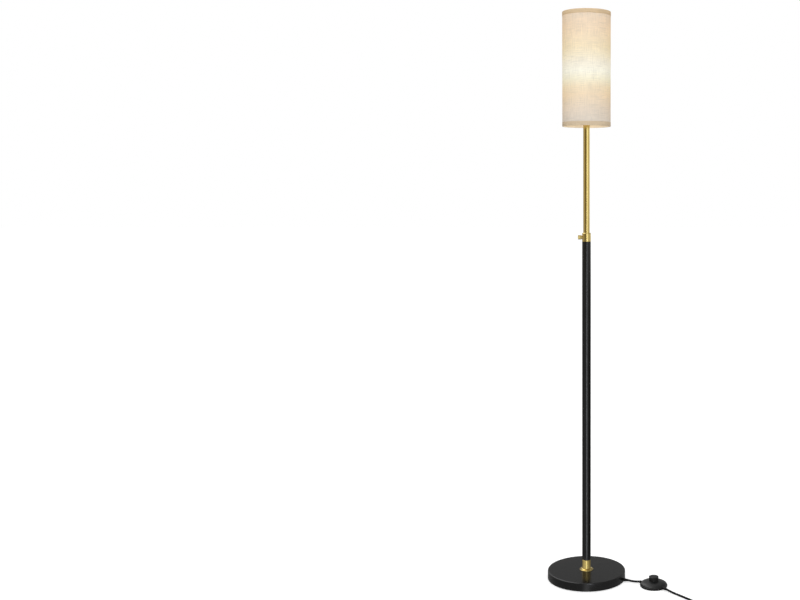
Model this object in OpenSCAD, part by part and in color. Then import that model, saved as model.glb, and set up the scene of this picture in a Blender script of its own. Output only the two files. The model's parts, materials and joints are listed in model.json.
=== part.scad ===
// Telescopic floor lamp with a round base, a two-part pole, a sliding brass stem,
// a tall linen drum shade and a foot switch on its mains lead.
// Origin: centre of the base on the floor. +Z is up, the thumb screw points to -X,
// and the lead leaves the base on the +X side.

/* [Base] */
// Diameter of the round base
base_d = 230; // [215:1:240]
// Height of the base above the floor
base_h = 26; // [25:0.5:30]
// Diameter of the brass flange on the base
flange_d = 40; // [37:1:46]
// Height of the brass ferrule at the foot of the pole
ferrule_h = 26.5; // [24:0.5:32]

/* [Pole] */
// Outside diameter of the black pole
pole_d = 25.4; // [25.2:0.1:26]
// Wall of the black pole
pole_wall = 1; // [0.8:0.1:1]
// Length of each of the two black sections
section_l = 472; // [440:0.5:500]
// Height of the brass clamp collar
collar_h = 26; // [24:1:30]

/* [Stem] */
// Outside diameter of the brass stem
stem_d = 19; // [18.6:0.1:19.2]
// Length of stem between collar and shade, drawn out
stem_shown = 307; // [305:1:340]
// Height of the stem's top above the shade's bottom rim
stem_in_shade = 59; // [55:1:66]
// Length of stem that stays in the pole, below the collar
stem_engaged = 45; // [40:1:60]

/* [Shade] */
// Outside diameter of the shade
shade_d = 140; // [130:1:160]
// Height of the shade
shade_h = 326; // [300:1:360]
// Height of the hem bands
hem_h = 12; // [9:0.5:16]

/* [Foot switch] */
// Diameter of the switch
switch_d = 79.5; // [78:0.5:82]
// Height of the button's top above the floor
switch_h = 30; // [29:0.5:32]
// Diameter of the button
button_d = 28; // [26:0.5:29]
// Place of the switch's centre to the right of the lamp's axis
switch_x = 195.7; // [194:0.1:198]
// Place of the switch's centre towards the front
switch_y = -67; // [-70:0.5:-64]
// Direction in which the short lead comes into the switch
inlet_turn = -24; // [-26:1:-22]
// Direction in which the long lead leaves the switch
outlet_turn = -51; // [-53:1:-49]

/* [Lead] */
// Diameter of the round mains lead
lead_d = 6.2; // [5.8:0.1:6.4]
// Direction in which the lead leaves the base
lead_turn = -17; // [-20:1:-14]
// Radius of the coil's outermost turn, on the lead's centreline
coil_r = 48.1; // [47:0.1:50]

/* [Hidden] */

// Smoothness of round parts that carry over as true curves
$fn = 64;
// Radial clearance of a running fit
run_gap = 0.06;
// Small overlap that lets a cut pass right through
eps = 0.5;

black = "#232323";
brass = "#c9ab62";
steel = "#a8abb0";
iron = "#4a4c50";
rubber = "#1b1b1b";
linen = "#e9dcc4";
white = "#f4f2ec";
copper = "#c48a3f";

// Base
pad_t = 2;
pad_r = base_d / 2 - 9;
cover_wall = 1.2;
cover_r = base_d / 2;
cover_edge_r = 3;
cover_z0 = 1.5;
weight_r = cover_r - cover_wall - 1.3;
flange_h = 3.5;
tube_r = 6.5;
tube_bore_r = 4.5;
tube_z0 = 12;
nut_t = 4;
washer_t = 1.5;
nut_pocket_r = 16;
nut_pocket_z = base_h - 6;
flange_z = base_h;
ferrule_z = base_h + flange_h;

// Pole
pole_r = pole_d / 2;
pole_ir = pole_r - pole_wall;
pole_z = ferrule_z + ferrule_h;
joint_z = pole_z + section_l;
collar_z = joint_z + section_l;
spigot_h = 15;
insert_z0 = ferrule_z + 4.5;
insert_z1 = pole_z + 27;
stud_r = 8;
joiner_bore_r = 5.5;

// Clamp
clamp_z = collar_z + collar_h / 2;
clamp_hole_r = 3;
pad_gap = 0.1;
clamp_pad_t = 2;
clamp_pad_r = 2.6;
peg_r = 1;
peg_l = 1.5;
knob_r = 6.3;
knob_l = 10.8;
knob_x = 1.2;
knob_flutes = 20;

// Stem
stem_r = stem_d / 2;
stem_wall = 1;
stem_ir = stem_r - stem_wall;
collar_top = collar_z + collar_h;
shade_z = collar_top + stem_shown;
stem_top = shade_z + stem_in_shade;
stem_z0 = collar_z - stem_engaged;
bush_lip = 2;
bush_top = collar_z - spigot_h - 0.3;
ring_z = stem_z0 + 7;
ring_h = 6;
groove_r = stem_r + 1;

// Lampholder and bulb, as heights above the stem's top
nipple_r = 5;
cap_z = stem_top + 5;
core_z = stem_top + 16;
core_t = 8;
shell_z = stem_top + 26;
sleeve_z = stem_top + 20;
sleeve_top = stem_top + 51;
sleeve_r = 19;
holder_flange_z = stem_top + 36;
holder_flange_r = 22.5;
bulb_z = stem_top + 26;
bulb_body_z = bulb_z + 23;
bulb_rim_z = bulb_z + 63;
bulb_r = 30;
bulb_centre_z = bulb_rim_z + 15;
bulb_wall = 1.2;
thread_pitch = 3.6;
thread_depth = 0.4;

// Shade, from the outside in
shade_r = shade_d / 2;
hem_t = 0.35;
hem_corner = 1.2;
linen_t = 0.8;
liner_t = 0.4;
cover_or = shade_r - hem_t;
liner_or = cover_or - linen_t;
liner_ir = liner_or - liner_t;
wire_r = 1.5;
ring_r = liner_ir - wire_r - 0.05;
ring_lift = 3;
hem_inner_h = 8;
hem_ir = ring_r - wire_r - hem_t - 0.1;
sheet_z = shade_z + hem_corner;
sheet_h = shade_h - 2 * hem_corner;
shade_top = shade_z + shade_h;
arm_r = 1.4;
arm_angles = [90, 210, 330];
fitter_z = holder_flange_z + 2;
fitter_t = 2;
fitter_r = 27;
arm_bend = [30, fitter_z - 0.8];
arm_end = [24.2, fitter_z - 0.8];
weld_r = 1.6;
lap_angle = 7;

// Foot switch, in its own frame: +X is the outlet
inlet_side = 180 + inlet_turn - outlet_turn;
foot_t = 1.2;
switch_r = switch_d / 2;
lead_z = 6;
plate_floor = 2;
dome_a = switch_r - 1;
dome_b = switch_h - 18.6;
dome_t = 2;
button_r = button_d / 2;
button_flange_r = button_r + 1.9;
button_flange_t = 2;
button_flange_z = lead_z + (dome_b - dome_t) * sqrt(1 - pow(button_flange_r / (dome_a - dome_t), 2))
  - button_flange_t - 0.2;
button_roof = 3;
block_top = 8.2;
post_r = 26;
post_angles = [45, 135, 225, 315];
screw_r = 1.2;
relief_neck_r = 3.9;
relief_flange_r = 4.3;
relief_flange_t = 3;
relief_wall_in = switch_r - 4.3;
base_relief_r = 4.9;
base_relief_x = cover_r - 8.2;

// Leads
lead_r = lead_d / 2;
floor_z = lead_r;
base_boot_out = 12;
boot_out = 14;
inlet_out = 5;
lead_bend_r = 8;
lead_top = joint_z + 47;
slack_top = stem_z0 - 15;
slack_turns = 8;
slack_r = 7.5;
slack_steps = 72;

lead_dir = [cos(lead_turn), sin(lead_turn), 0];
inlet_dir = [cos(inlet_turn), sin(inlet_turn), 0];
outlet_dir = [cos(outlet_turn), sin(outlet_turn), 0];
switch_at = [switch_x, switch_y, 0];
lead_up = [0, 0, lead_z];
exit_tip = (cover_r + base_boot_out) * lead_dir + lead_up;
inlet_tip = switch_at - (switch_r + inlet_out) * inlet_dir + lead_up;
outlet_tip = switch_at + (switch_r + boot_out) * outlet_dir + lead_up;

// Route points between the ends of each free lead, chosen by hand
short_route = [[133, -40.8, 4.9], [143, -44.4, 4.9]];
mains_route = [
  [237, -117, 4.9], [245.5, -126, 3.7], [254, -135, 3.1], [263, -145.5, 3.1], [272, -156, 3.1],
  [281, -167, 3.1], [290, -178, 3.1], [299.5, -190, 3.1], [309.5, -202.5, 3.1], [320, -216, 3.1]
];

// Coil: a spiral in on the floor, up one layer, and out again
coil_at = [297, -264];
coil_start = 38;
coil_steps = 152;
coil_step = 15;
coil_pitch = lead_d + 0.7;
coil_layer = lead_d + 0.5;
coil_sweep = coil_steps * coil_step;
coil_climb = 180;

// Plug
plug_l = 27;
plug_w = 24;
plug_h = 2 * (floor_z + coil_layer);
plug_relief_l = 24;
blade_l = 17.5;
blade_gap = 12.7;

// Direction helpers and smooth paths ------------------------------------------------

function unit(v) = v / norm(v);

function arc(centre, r, from, to, steps) =
  [for (i = [0:steps]) let (a = from + (to - from) * i / steps) centre + r * [cos(a), sin(a)]];

// Point at share t between b and c of a smooth curve through a, b, c and d
function smooth_point(a, b, c, d, t) =
  0.5 * (2 * b + (c - a) * t + (2 * a - 5 * b + 4 * c - d) * pow(t, 2)
         + (3 * b - a - 3 * c + d) * pow(t, 3));

// Smooth path through p that starts along the direction from and ends along to
function smooth_path(p, from, to, parts) =
  let (n = len(p), first = p[0] - norm(p[1] - p[0]) * from,
       last = p[n - 1] + norm(p[n - 1] - p[n - 2]) * to, q = concat([first], p, [last]))
  concat([for (i = [0:n - 2]) for (k = [0:parts - 1])
            smooth_point(q[i], q[i + 1], q[i + 2], q[i + 3], k / parts)], [p[n - 1]]);

function path_length(p) = len(p) < 2 ? 0 : [for (i = [1:len(p) - 1]) norm(p[i] - p[i - 1])]
  * [for (i = [1:len(p) - 1]) 1];

function path_tangent(p, i) = unit(p[min(i + 1, len(p) - 1)] - p[max(i - 1, 0)]);

// Round tube along the points p, no stretch of which runs along the direction ref.
// Its end faces are square to the directions from and to, where these are given
module tube_along(p, r, sides, ref = [0, 0, 1], from = undef, to = undef) {
  n = len(p);
  tangents = [for (i = [0:n - 1])
    i == 0 && !is_undef(from) ? from : i == n - 1 && !is_undef(to) ? to : path_tangent(p, i)];
  rings = [for (i = [0:n - 1])
    let (t = tangents[i], u = unit(cross(ref, t)), w = cross(t, u))
    for (k = [0:sides - 1]) let (a = 360 * k / sides) p[i] + r * (cos(a) * u + sin(a) * w)];
  walls = [for (i = [0:n - 2]) for (k = [0:sides - 1])
    let (a = i * sides + k, b = i * sides + (k + 1) % sides)
    each [[a, a + sides, b + sides], [a, b + sides, b]]];
  start_cap = [for (k = [0:sides - 1]) k];
  end_cap = [for (k = [sides - 1:-1:0]) (n - 1) * sides + k];
  polyhedron(rings, concat([start_cap], walls, [end_cap]));
}

module washer_ring(r_out, r_in, z, h) {
  translate([0, 0, z]) difference() {
    cylinder(r = r_out, h = h);
    translate([0, 0, -eps]) cylinder(r = r_in, h = h + 2 * eps);
  }
}

// Points a cylinder's axis along a level direction, from the lamp's axis outwards
module along(turn, x, z) {
  rotate([0, 0, turn]) translate([x, 0, z]) rotate([0, 90, 0]) children();
}

// Hexagonal nut with the given width across its flats
module hex_nut(flats, r_in, z, h) {
  translate([0, 0, z]) difference() {
    cylinder(d = flats / cos(30), h = h, $fn = 6);
    translate([0, 0, -eps]) cylinder(r = r_in, h = h + 2 * eps);
  }
}

// Base ------------------------------------------------------------------------------

module base_cover() {
  edge_z = base_h - cover_edge_r;
  edge_r = cover_r - cover_edge_r;
  inner_edge = cover_edge_r - cover_wall;
  color(black) difference() {
    rotate_extrude($fn = 128) polygon(concat(
      [[tube_r + run_gap, base_h - cover_wall], [tube_r + run_gap, base_h]],
      arc([edge_r, edge_z], cover_edge_r, 90, 0, 6),
      [[cover_r, cover_z0], [cover_r - cover_wall, cover_z0]],
      arc([edge_r, edge_z], inner_edge, 0, 90, 6)));
    along(lead_turn, cover_r - 5, lead_z) cylinder(r = relief_neck_r, h = 10);
    rotate([0, 0, lead_turn]) translate([cover_r - 5, -relief_neck_r, 0])
      cube([10, 2 * relief_neck_r, lead_z]);
  }
}

module base_weight() {
  pocket_z = base_h - 12;
  rib = 8;
  lead_slot = base_relief_r + 0.3;
  color(iron) difference() {
    rotate_extrude($fn = 128) polygon([
      [tube_r + run_gap, pad_t], [weight_r, pad_t], [weight_r, base_h - 5],
      [weight_r - 3.5, base_h - cover_wall], [tube_r + run_gap, base_h - cover_wall]]);
    translate([0, 0, pad_t - eps]) cylinder(r = nut_pocket_r, h = nut_pocket_z - pad_t + eps);
    difference() {
      washer_ring(weight_r - 18, 30, pad_t - eps, pocket_z - pad_t + eps);
      for (a = [30:60:330]) rotate([0, 0, lead_turn + a]) translate([0, -rib / 2, 0])
        cube([weight_r, rib, pocket_z + eps]);
    }
    rotate([0, 0, lead_turn]) translate([0, -lead_slot, pad_t - eps])
      cube([cover_r, 2 * lead_slot, lead_z + lead_slot - pad_t + eps]);
  }
}

module base_pad() {
  color(rubber) cylinder(r = pad_r, h = pad_t, $fn = 128);
}

module base_flange() {
  rim = flange_d / 2;
  color(brass) rotate_extrude() polygon([
    [tube_r + run_gap, flange_z], [rim, flange_z], [rim, flange_z + 1.4], [rim - 0.6, flange_z + 2],
    [rim - 3, flange_z + 2], [pole_r + 2, flange_z + 2.6], [pole_r + 0.4, ferrule_z],
    [tube_r + run_gap, ferrule_z]]);
}

module base_ferrule() {
  edge = 0.5;
  color(brass) rotate_extrude() polygon([
    [pole_ir, ferrule_z], [pole_r - edge, ferrule_z], [pole_r, ferrule_z + edge],
    [pole_r, pole_z - edge], [pole_r - edge, pole_z], [pole_ir, pole_z]]);
}

module base_tube() {
  color(steel) washer_ring(tube_r, tube_bore_r, tube_z0, pole_z - 5 - tube_z0);
}

module base_nut() {
  color(steel) hex_nut(19, tube_r, nut_pocket_z - washer_t - nut_t, nut_t);
}

module base_washer() {
  color(steel) washer_ring(14, tube_r + run_gap, nut_pocket_z - washer_t, washer_t);
}

module base_cord_relief() {
  collar_r = 4.6;
  wall_in = cover_r - 1.5 - base_relief_x;
  wall_out = cover_r + 0.1 - base_relief_x;
  tip = cover_r + base_boot_out - base_relief_x;
  color(rubber) along(lead_turn, base_relief_x, lead_z) rotate_extrude() polygon([
    [0, 0], [base_relief_r, 0], [base_relief_r, wall_in], [relief_neck_r, wall_in],
    [relief_neck_r, wall_out], [collar_r, wall_out], [collar_r, wall_out + 1.4],
    [lead_r + 0.3, tip], [0, tip]]);
}

// Pole ------------------------------------------------------------------------------

module lower_pole() {
  color(black) washer_ring(pole_r, pole_ir, pole_z, section_l);
}

module upper_pole() {
  color(black) washer_ring(pole_r, pole_ir, joint_z, section_l);
}

module foot_insert() {
  color(steel) difference() {
    translate([0, 0, insert_z0]) cylinder(r = pole_ir, h = insert_z1 - insert_z0);
    translate([0, 0, insert_z0 - eps]) cylinder(r = tube_r, h = insert_z1 - insert_z0 + 2 * eps);
    translate([0, 0, pole_z]) cylinder(r = stud_r, h = insert_z1 - pole_z + eps);
  }
}

module joiner_stud() {
  body_l = 40;
  stud_l = 18;
  color(steel) difference() {
    union() {
      translate([0, 0, joint_z - body_l]) cylinder(r = pole_ir, h = body_l);
      translate([0, 0, joint_z - eps]) cylinder(r = stud_r, h = stud_l + eps);
    }
    translate([0, 0, joint_z - body_l - eps]) cylinder(r = joiner_bore_r, h = body_l + stud_l + 2 * eps);
  }
}

module joiner_socket() {
  body_l = 43;
  thread_l = 20;
  color(steel) difference() {
    translate([0, 0, joint_z]) cylinder(r = pole_ir, h = body_l);
    translate([0, 0, joint_z - eps]) cylinder(r = stud_r, h = thread_l + eps);
    translate([0, 0, joint_z]) cylinder(r = joiner_bore_r, h = body_l + eps);
  }
}

module clamp_collar() {
  edge = 1.3;
  lip = 1;
  bore = stem_r + run_gap;
  color(brass) difference() {
    rotate_extrude() polygon([
      [bore, collar_z - spigot_h], [pole_ir, collar_z - spigot_h], [pole_ir, collar_z],
      [pole_r - lip, collar_z], [pole_r, collar_z + lip], [pole_r, collar_top - edge],
      [pole_r - edge, collar_top], [bore + 0.4, collar_top], [bore, collar_top - 0.4]]);
    along(180, stem_r - eps, clamp_z) cylinder(r = clamp_hole_r, h = pole_r);
  }
}

module clamp_pad() {
  color(white) along(180, stem_r + pad_gap, clamp_z) {
    cylinder(r = clamp_pad_r, h = clamp_pad_t);
    cylinder(r = peg_r, h = clamp_pad_t + peg_l);
  }
}

module thumb_screw() {
  shank_x = stem_r + pad_gap + clamp_pad_t + 0.1;
  neck_l = pole_r + 0.3 - shank_x;
  head_l = neck_l + knob_x - 0.3;
  shank_r = clamp_hole_r - run_gap;
  neck_r = 4.6;
  edge = 0.9;
  flute_r = 0.7;
  color(brass) along(180, shank_x, clamp_z) difference() {
    rotate_extrude() polygon(concat(
      [[0, 0], [shank_r - 0.4, 0], [shank_r, 0.4], [shank_r, neck_l], [neck_r, neck_l],
       [neck_r, head_l - 0.6], [knob_r - 1, head_l], [knob_r, head_l + 1]],
      arc([knob_r - edge, head_l + knob_l - edge], edge, 0, 90, 5),
      [[0, head_l + knob_l + 0.5]]));
    translate([0, 0, -eps]) cylinder(r = peg_r + run_gap, h = peg_l + 0.2 + eps);
    for (i = [0:knob_flutes - 1]) rotate([0, 0, 360 * i / knob_flutes])
      translate([knob_r + 0.35, 0, head_l + 1]) cylinder(r = flute_r, h = knob_l, $fn = 16);
  }
}

// Stem ------------------------------------------------------------------------------

module friction_ring() {
  color(white) washer_ring(pole_ir - run_gap, groove_r + 0.1, ring_z + 0.1, ring_h - 0.2);
}

module guide_bush() {
  bush_r = pole_ir - 0.2;
  lead_hole_r = 4;
  lead_in = 1;
  color(white) rotate_extrude() polygon([
    [lead_hole_r, stem_z0 - bush_lip], [bush_r - lead_in, stem_z0 - bush_lip],
    [bush_r, stem_z0 - bush_lip + lead_in], [bush_r, ring_z], [groove_r, ring_z],
    [groove_r, ring_z + ring_h], [bush_r, ring_z + ring_h], [bush_r, bush_top],
    [stem_r, bush_top], [stem_r, stem_z0], [lead_hole_r, stem_z0]]);
}

module stem_tube() {
  color(brass) washer_ring(stem_r, stem_ir, stem_z0, stem_top - stem_z0);
}

module stem_top_plug() {
  color(brass) difference() {
    union() {
      translate([0, 0, stem_top - 14]) cylinder(r = stem_ir, h = 14);
      translate([0, 0, stem_top]) cylinder(r = stem_r, h = 2);
    }
    translate([0, 0, stem_top - 14 - eps]) cylinder(r = nipple_r, h = 16 + 2 * eps);
  }
}

module holder_nipple() {
  color(steel) washer_ring(nipple_r, 3.4, stem_top - 10, 22);
}

module holder_lock_nut() {
  color(steel) hex_nut(14, nipple_r, stem_top + 2, cap_z - stem_top - 2);
}

// Lampholder ------------------------------------------------------------------------

module holder_cap() {
  wall = 2.2;
  shoulder = 9;
  color(black) rotate_extrude() polygon(concat(
    [[nipple_r, cap_z], [8, cap_z], [9.5, cap_z + 3]],
    arc([sleeve_r - shoulder, cap_z + 12], shoulder, -80, 0, 8),
    [[sleeve_r, sleeve_z], [sleeve_r - wall, sleeve_z]],
    arc([sleeve_r - shoulder, cap_z + 12], shoulder - wall, 0, -80, 8),
    [[nipple_r, cap_z + 4.5]]));
}

module holder_core() {
  color(white) difference() {
    translate([0, 0, core_z]) cylinder(r = 16.2, h = core_t);
    translate([0, 0, core_z - eps]) cylinder(r = 3, h = core_t + 2 * eps);
    for (side = [0, 180]) rotate([0, 0, side]) translate([9, -3.5, core_z - eps])
      cube([10, 7, core_t + 2 * eps]);
  }
}

// Springy strip that rises to the bulb's tip
module holder_contact() {
  strip = 4;
  color(copper) translate([0, strip / 2, core_z + core_t]) rotate([90, 0, 0])
    linear_extrude(strip) polygon([
      [-8, 0], [5, 0], [6, 0.4], [-3, 1.9], [-6, 1.9], [-6, 1.5], [-3.2, 1.5], [3, 0.5], [-8, 0.5]]);
}

module holder_terminals() {
  color(copper) for (side = [0, 180]) rotate([0, 0, side]) {
    translate([9.5, -3, core_z + 2]) cube([1, 6, core_t - 2]);
    along(0, 10.5, core_z + 4.5) cylinder(r = 2, h = 3);
  }
}

function thread_wave(r, z0, z1, from) =
  let (steps = ceil((z1 - z0) / thread_pitch * 4))
  [for (i = [0:steps]) let (z = z0 + (z1 - z0) * i / steps)
    [r + thread_depth * sin(360 * (z - from) / thread_pitch), z]];

function reversed(p) = [for (i = [len(p) - 1:-1:0]) p[i]];

module holder_screw_shell() {
  wall = 0.4;
  color(copper) rotate_extrude() polygon(concat(
    [[9.5, shell_z - 0.1], [13.4, shell_z - 0.1]],
    thread_wave(13.4, shell_z + 3.6, sleeve_top - 3, bulb_z),
    reversed(thread_wave(13.4 - wall, shell_z + 3.6, sleeve_top - 3, bulb_z)),
    [[13, shell_z + 0.3], [9.5, shell_z + 0.3]]));
}

module holder_sleeve() {
  color(black) rotate_extrude() polygon(concat(
    [[16.4, sleeve_z], [sleeve_r, sleeve_z], [sleeve_r + 0.5, sleeve_z + 1],
     [sleeve_r + 0.5, holder_flange_z - 2], [holder_flange_r, holder_flange_z],
     [holder_flange_r, fitter_z], [sleeve_r + 0.4, fitter_z]],
    thread_wave(sleeve_r + 0.2, fitter_z + 2.4, sleeve_top - 1, fitter_z),
    [[sleeve_r - 0.6, sleeve_top], [16.4, sleeve_top]]));
}

module shade_ring_nut() {
  nut_r = 25;
  nut_h = 8;
  color(black) difference() {
    translate([0, 0, fitter_z + fitter_t]) cylinder(r = nut_r, h = nut_h);
    translate([0, 0, fitter_z]) cylinder(r = sleeve_r + 0.7, h = nut_h + fitter_t + eps);
    for (a = [0:20:340]) rotate([0, 0, a]) translate([nut_r + 0.6, 0, fitter_z])
      cylinder(r = 1.8, h = nut_h + fitter_t + eps, $fn = 24);
  }
}

// Shade -----------------------------------------------------------------------------

module wire_ring(z) {
  translate([0, 0, z]) rotate_extrude($fn = 96) translate([ring_r, 0]) circle(r = wire_r, $fn = 24);
}

// Round bar from one point of the plane (distance, height) to another
module arm_bar(from, to, r) {
  step = to - from;
  translate([from[0], 0, from[1]]) rotate([0, 90 - atan2(step[1], step[0]), 0])
    cylinder(r = r, h = norm(step), $fn = 24);
}

module carrier_arm(r) {
  arm_bar([ring_r, shade_z + ring_lift], arm_bend, r);
  arm_bar(arm_bend, arm_end, r);
  translate([arm_bend[0], 0, arm_bend[1]]) sphere(r = weld_r, $fn = 24);
}

module shade_carrier() {
  color(white) {
    wire_ring(shade_z + ring_lift);
    for (a = arm_angles) rotate([0, 0, a]) carrier_arm(arm_r);
    washer_ring(fitter_r, sleeve_r + 1, fitter_z, fitter_t);
  }
}

module shade_top_ring() {
  color(white) wire_ring(shade_top - ring_lift);
}

module shade_liner() {
  color(white) washer_ring(liner_or, liner_ir, sheet_z, sheet_h, $fn = 128);
}

// Linen drum with its lap seam down the back
module shade_cover() {
  color(linen) {
    washer_ring(cover_or, liner_or, sheet_z, sheet_h, $fn = 128);
    rotate([0, 0, 90 - lap_angle / 2]) rotate_extrude(angle = lap_angle, $fn = 128)
      translate([cover_or - 0.2, shade_z + hem_h]) square([hem_t + 0.1, shade_h - 2 * hem_h]);
  }
}

// Hem band folded round a wire ring: outside leg, rounded rim and short inside leg
module hem_band() {
  fold = hem_corner - hem_t;
  out_corner = [shade_r - hem_corner, hem_corner];
  in_corner = [hem_ir + hem_corner, hem_corner];
  rotate_extrude($fn = 128) polygon(concat(
    [[shade_r, hem_h]], arc(out_corner, hem_corner, 0, -90, 4), arc(in_corner, hem_corner, -90, -180, 4),
    [[hem_ir, hem_inner_h], [hem_ir + hem_t, hem_inner_h]],
    arc(in_corner, fold, -180, -90, 4), arc(out_corner, fold, -90, 0, 4), [[cover_or, hem_h]]));
}

module shade_hem_bottom() {
  color(linen) difference() {
    translate([0, 0, shade_z]) hem_band();
    for (a = arm_angles) rotate([0, 0, a]) translate([hem_ir - 2, -3, shade_z + 2])
      cube([3, 6, hem_inner_h]);
  }
}

module shade_hem_top() {
  color(linen) translate([0, 0, shade_top]) mirror([0, 0, 1]) hem_band();
}

// Bulb ------------------------------------------------------------------------------

module bulb_cap() {
  color(steel) rotate_extrude() polygon(concat(
    [[0, bulb_z], [3.5, bulb_z], [4.5, bulb_z + 1], [5, bulb_z + 2], [10.5, bulb_z + 4],
     [12.2, bulb_z + 4.2]],
    thread_wave(12.5, bulb_z + 5, bulb_body_z - 2, bulb_z),
    [[12.9, bulb_body_z], [0, bulb_body_z]]));
}

module bulb_body() {
  rim_r = 26;
  color(white) rotate_extrude() polygon(concat(
    [[0, bulb_body_z], [13.4, bulb_body_z], [14, bulb_body_z + 4]],
    [for (i = [0:8]) let (t = i / 8) [14.5 + (rim_r - 14.5) * pow(t, 0.8), bulb_body_z + 5 + 33 * t]],
    [[rim_r, bulb_rim_z], [0, bulb_rim_z]]));
}

module bulb_led_board() {
  chips = 12;
  color(white) translate([0, 0, bulb_rim_z]) cylinder(r = 22, h = 1.6);
  color("#f2c94c") for (i = [0:chips - 1]) rotate([0, 0, 360 * i / chips])
    translate([14.5, -1.4, bulb_rim_z + 1.6]) cube([2.8, 2.8, 0.8]);
}

module bulb_globe() {
  rim_angle = -asin(15 / bulb_r);
  inner = bulb_r - bulb_wall;
  inner_angle = -asin(15 / inner);
  centre = [0, bulb_centre_z];
  color(white) rotate_extrude() polygon(concat(
    arc(centre, bulb_r, rim_angle, 90, 24), arc(centre, inner, 90, inner_angle, 24)));
}

// Inner lead ------------------------------------------------------------------------

// From the base's cord relief through the weight, up the hollow tube and the pole
module pole_lead() {
  bend = arc([lead_bend_r, lead_z + lead_bend_r], lead_bend_r, 270, 180, 6);
  flat_path = concat([[base_relief_x, lead_z], [60, lead_z]], bend,
                     [[0, pole_z], [0, joint_z], [0, lead_top]]);
  path = [for (p = flat_path) p[0] * lead_dir + [0, 0, p[1]]];
  color(rubber) tube_along(path, lead_r, 8, cross(lead_dir, [0, 0, 1]));
}

// Slack that lies in a loose helix and folds as the stem goes down
module slack_lead() {
  straight = 5;
  span = slack_top - lead_top - 2 * straight;
  helix = [for (i = [0:slack_steps])
    let (t = i / slack_steps, a = 360 * slack_turns * t, r = slack_r * min(1, 6 * t, 6 * (1 - t)))
    [r * cos(a), r * sin(a), lead_top + straight + span * t]];
  color(rubber) tube_along(concat([[0, 0, lead_top]], helix, [[0, 0, slack_top]]),
                           lead_r, 6, [1, 0, 0]);
}

// Straight lead in the stem, with its two cores to the terminals
module stem_lead() {
  split_z = stem_top + 10;
  color(rubber) translate([0, 0, slack_top]) cylinder(r = lead_r, h = split_z - slack_top);
  color(copper) for (side = [-1, 1])
    tube_along([[side * 1.3, 0, split_z], [side * 1.6, 0, split_z + 2], [side * 4, 0, core_z - 2.6],
                [side * 8, 0, core_z - 1.4], [side * 11, 0, core_z - 1.2]], 1.05, 6, [0, 1, 0]);
}

// Foot switch -----------------------------------------------------------------------

module in_switch() {
  translate(switch_at) rotate([0, 0, outlet_turn]) children();
}

// Half ellipse of the dome, from its rim to a height over the hole
function dome_curve(a, b, r_end, steps) =
  let (end_angle = acos(r_end / a))
  [for (i = [0:steps]) let (t = end_angle * i / steps) [a * cos(t), lead_z + b * sin(t)]];

// Round ways for the leads through the wall, each with a pocket for its relief's flange
module lead_ways() {
  pocket_r = relief_flange_r + 0.1;
  pocket_t = relief_flange_t + 0.2;
  way_in = 22;
  for (side = [0, inlet_side]) {
    along(side, way_in, lead_z) cylinder(r = relief_neck_r, h = switch_r - way_in + eps, $fn = 32);
    along(side, relief_wall_in - pocket_t, lead_z) cylinder(r = pocket_r, h = pocket_t, $fn = 32);
  }
}

module switch_feet() {
  color(rubber) in_switch() washer_ring(switch_r - 1.5, switch_r - 8, 0, foot_t);
}

module switch_plate() {
  wall = 2.5;
  floor_top = foot_t + plate_floor;
  color(black) in_switch() difference() {
    union() {
      difference() {
        rotate_extrude() polygon([
          [0, foot_t], [switch_r - 0.6, foot_t], [switch_r, foot_t + 0.6], [switch_r, lead_z - 0.6],
          [switch_r - 0.6, lead_z], [0, lead_z]]);
        translate([0, 0, floor_top]) cylinder(r = switch_r - wall, h = lead_z);
      }
      for (a = post_angles) rotate([0, 0, a]) translate([post_r, 0, foot_t + 1])
        cylinder(r = 3.4, h = lead_z - foot_t - 1, $fn = 32);
    }
    for (a = post_angles) rotate([0, 0, a]) translate([post_r, 0, 0]) {
      translate([0, 0, foot_t - eps]) cylinder(r = 1.5, h = lead_z, $fn = 24);
      translate([0, 0, foot_t - eps]) cylinder(r = 3, h = 1.5 + eps, $fn = 24);
    }
    lead_ways();
  }
}

module switch_cover() {
  inner_a = dome_a - dome_t;
  inner_b = dome_b - dome_t;
  hole_r = button_r + 0.08;
  post_top = lead_z + inner_b * sqrt(1 - pow((post_r + 3) / inner_a, 2)) + 0.8;
  color(black) in_switch() difference() {
    union() {
      rotate_extrude() polygon(concat(
        dome_curve(dome_a, dome_b, hole_r, 14), reversed(dome_curve(inner_a, inner_b, hole_r, 12))));
      for (a = post_angles) rotate([0, 0, a]) translate([post_r, 0, lead_z])
        cylinder(r = 3, h = post_top - lead_z, $fn = 32);
    }
    for (a = post_angles) rotate([0, 0, a]) translate([post_r, 0, lead_z - eps])
      cylinder(r = screw_r, h = 5.3 + eps, $fn = 24);
    lead_ways();
  }
}

module switch_button() {
  inner_r = button_r - 2.5;
  crown = 1.2;
  edge = 1;
  color(black) in_switch() {
    rotate_extrude() polygon(concat(
      [[inner_r, button_flange_z], [button_flange_r, button_flange_z],
       [button_flange_r, button_flange_z + button_flange_t],
       [button_r, button_flange_z + button_flange_t]],
      arc([button_r - edge, switch_h - crown - edge], edge, 0, 90, 5),
      [for (i = [1:6]) let (t = 1 - i / 6) [(button_r - edge) * t, switch_h - crown * pow(t, 2)]],
      [[0, switch_h - button_roof], [inner_r, switch_h - button_roof]]));
    translate([0, 0, block_top + 0.6])
      cylinder(r = 2, h = switch_h - button_roof - block_top, $fn = 32);
  }
}

// Return spring between the contact block and the button's roof
module switch_spring() {
  turns = 5.5;
  spring_wire = 0.5;
  steps = turns * 8;
  low = block_top + spring_wire + 0.05;
  high = switch_h - button_roof - spring_wire - 0.05;
  color(steel) in_switch() tube_along([for (i = [0:steps])
    let (a = 45 * i) [6 * cos(a), 6 * sin(a), low + (high - low) * i / steps]], spring_wire, 6);
}

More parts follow.
